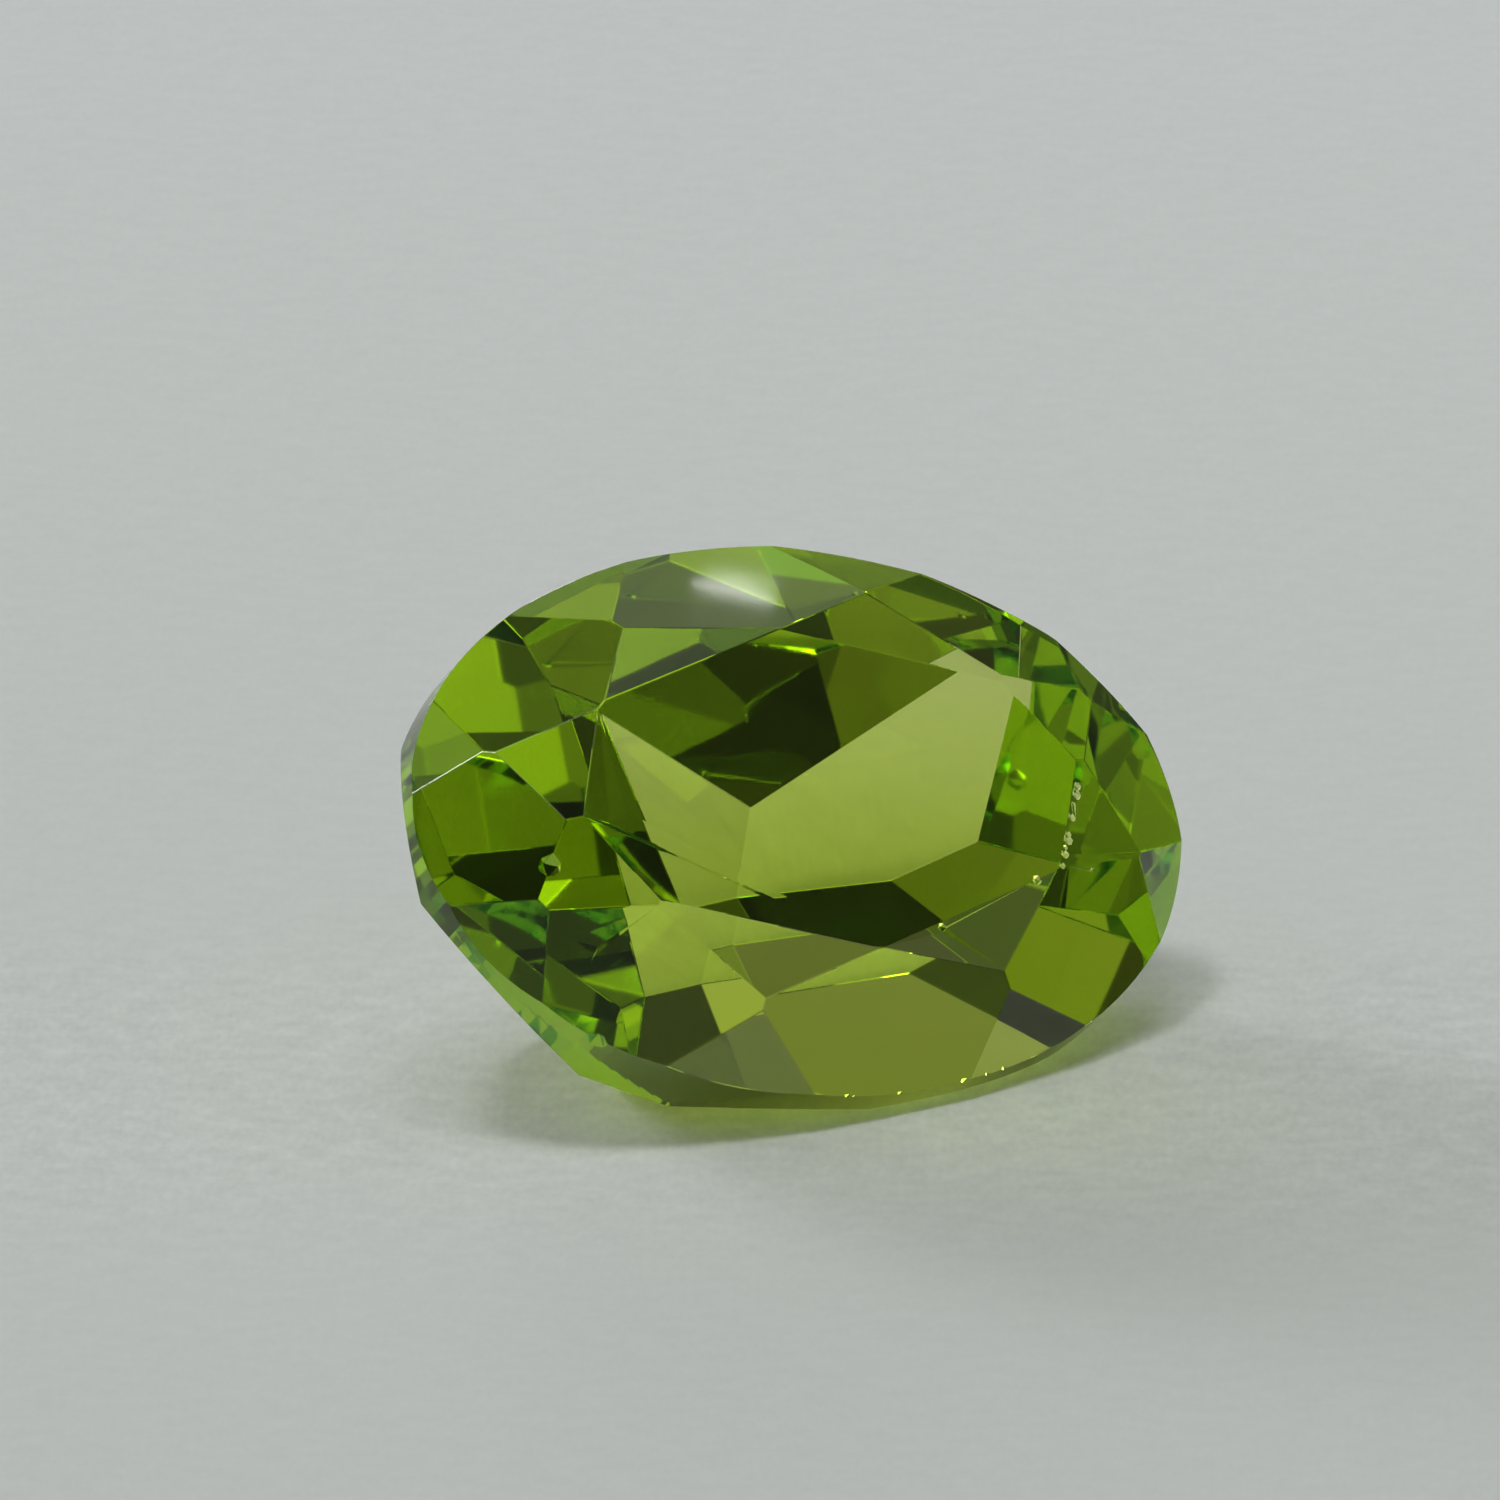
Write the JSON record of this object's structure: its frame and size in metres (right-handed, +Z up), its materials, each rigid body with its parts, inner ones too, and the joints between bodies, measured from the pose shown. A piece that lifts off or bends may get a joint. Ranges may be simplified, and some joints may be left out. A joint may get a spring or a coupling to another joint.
{
  "type": "oval-cut peridot",
  "caption": "Loose oval brilliant-cut green gemstone, flat table, faceted crown and pavilion, lying on a pavilion facet.",
  "frame": {"origin": "on the surface that the stone lies on, under the middle of its box", "axes": "+Z up, +X to the viewer's right, the table leans towards +X and -Y"},
  "size_m": [0.0064, 0.0054, 0.0038],
  "materials": {
    "peridot": "polished, clear yellowish green, with a ground girdle"
  },
  "bodies": {
    "root": {"peridot": "peridot"}
  },
  "joints": []
}
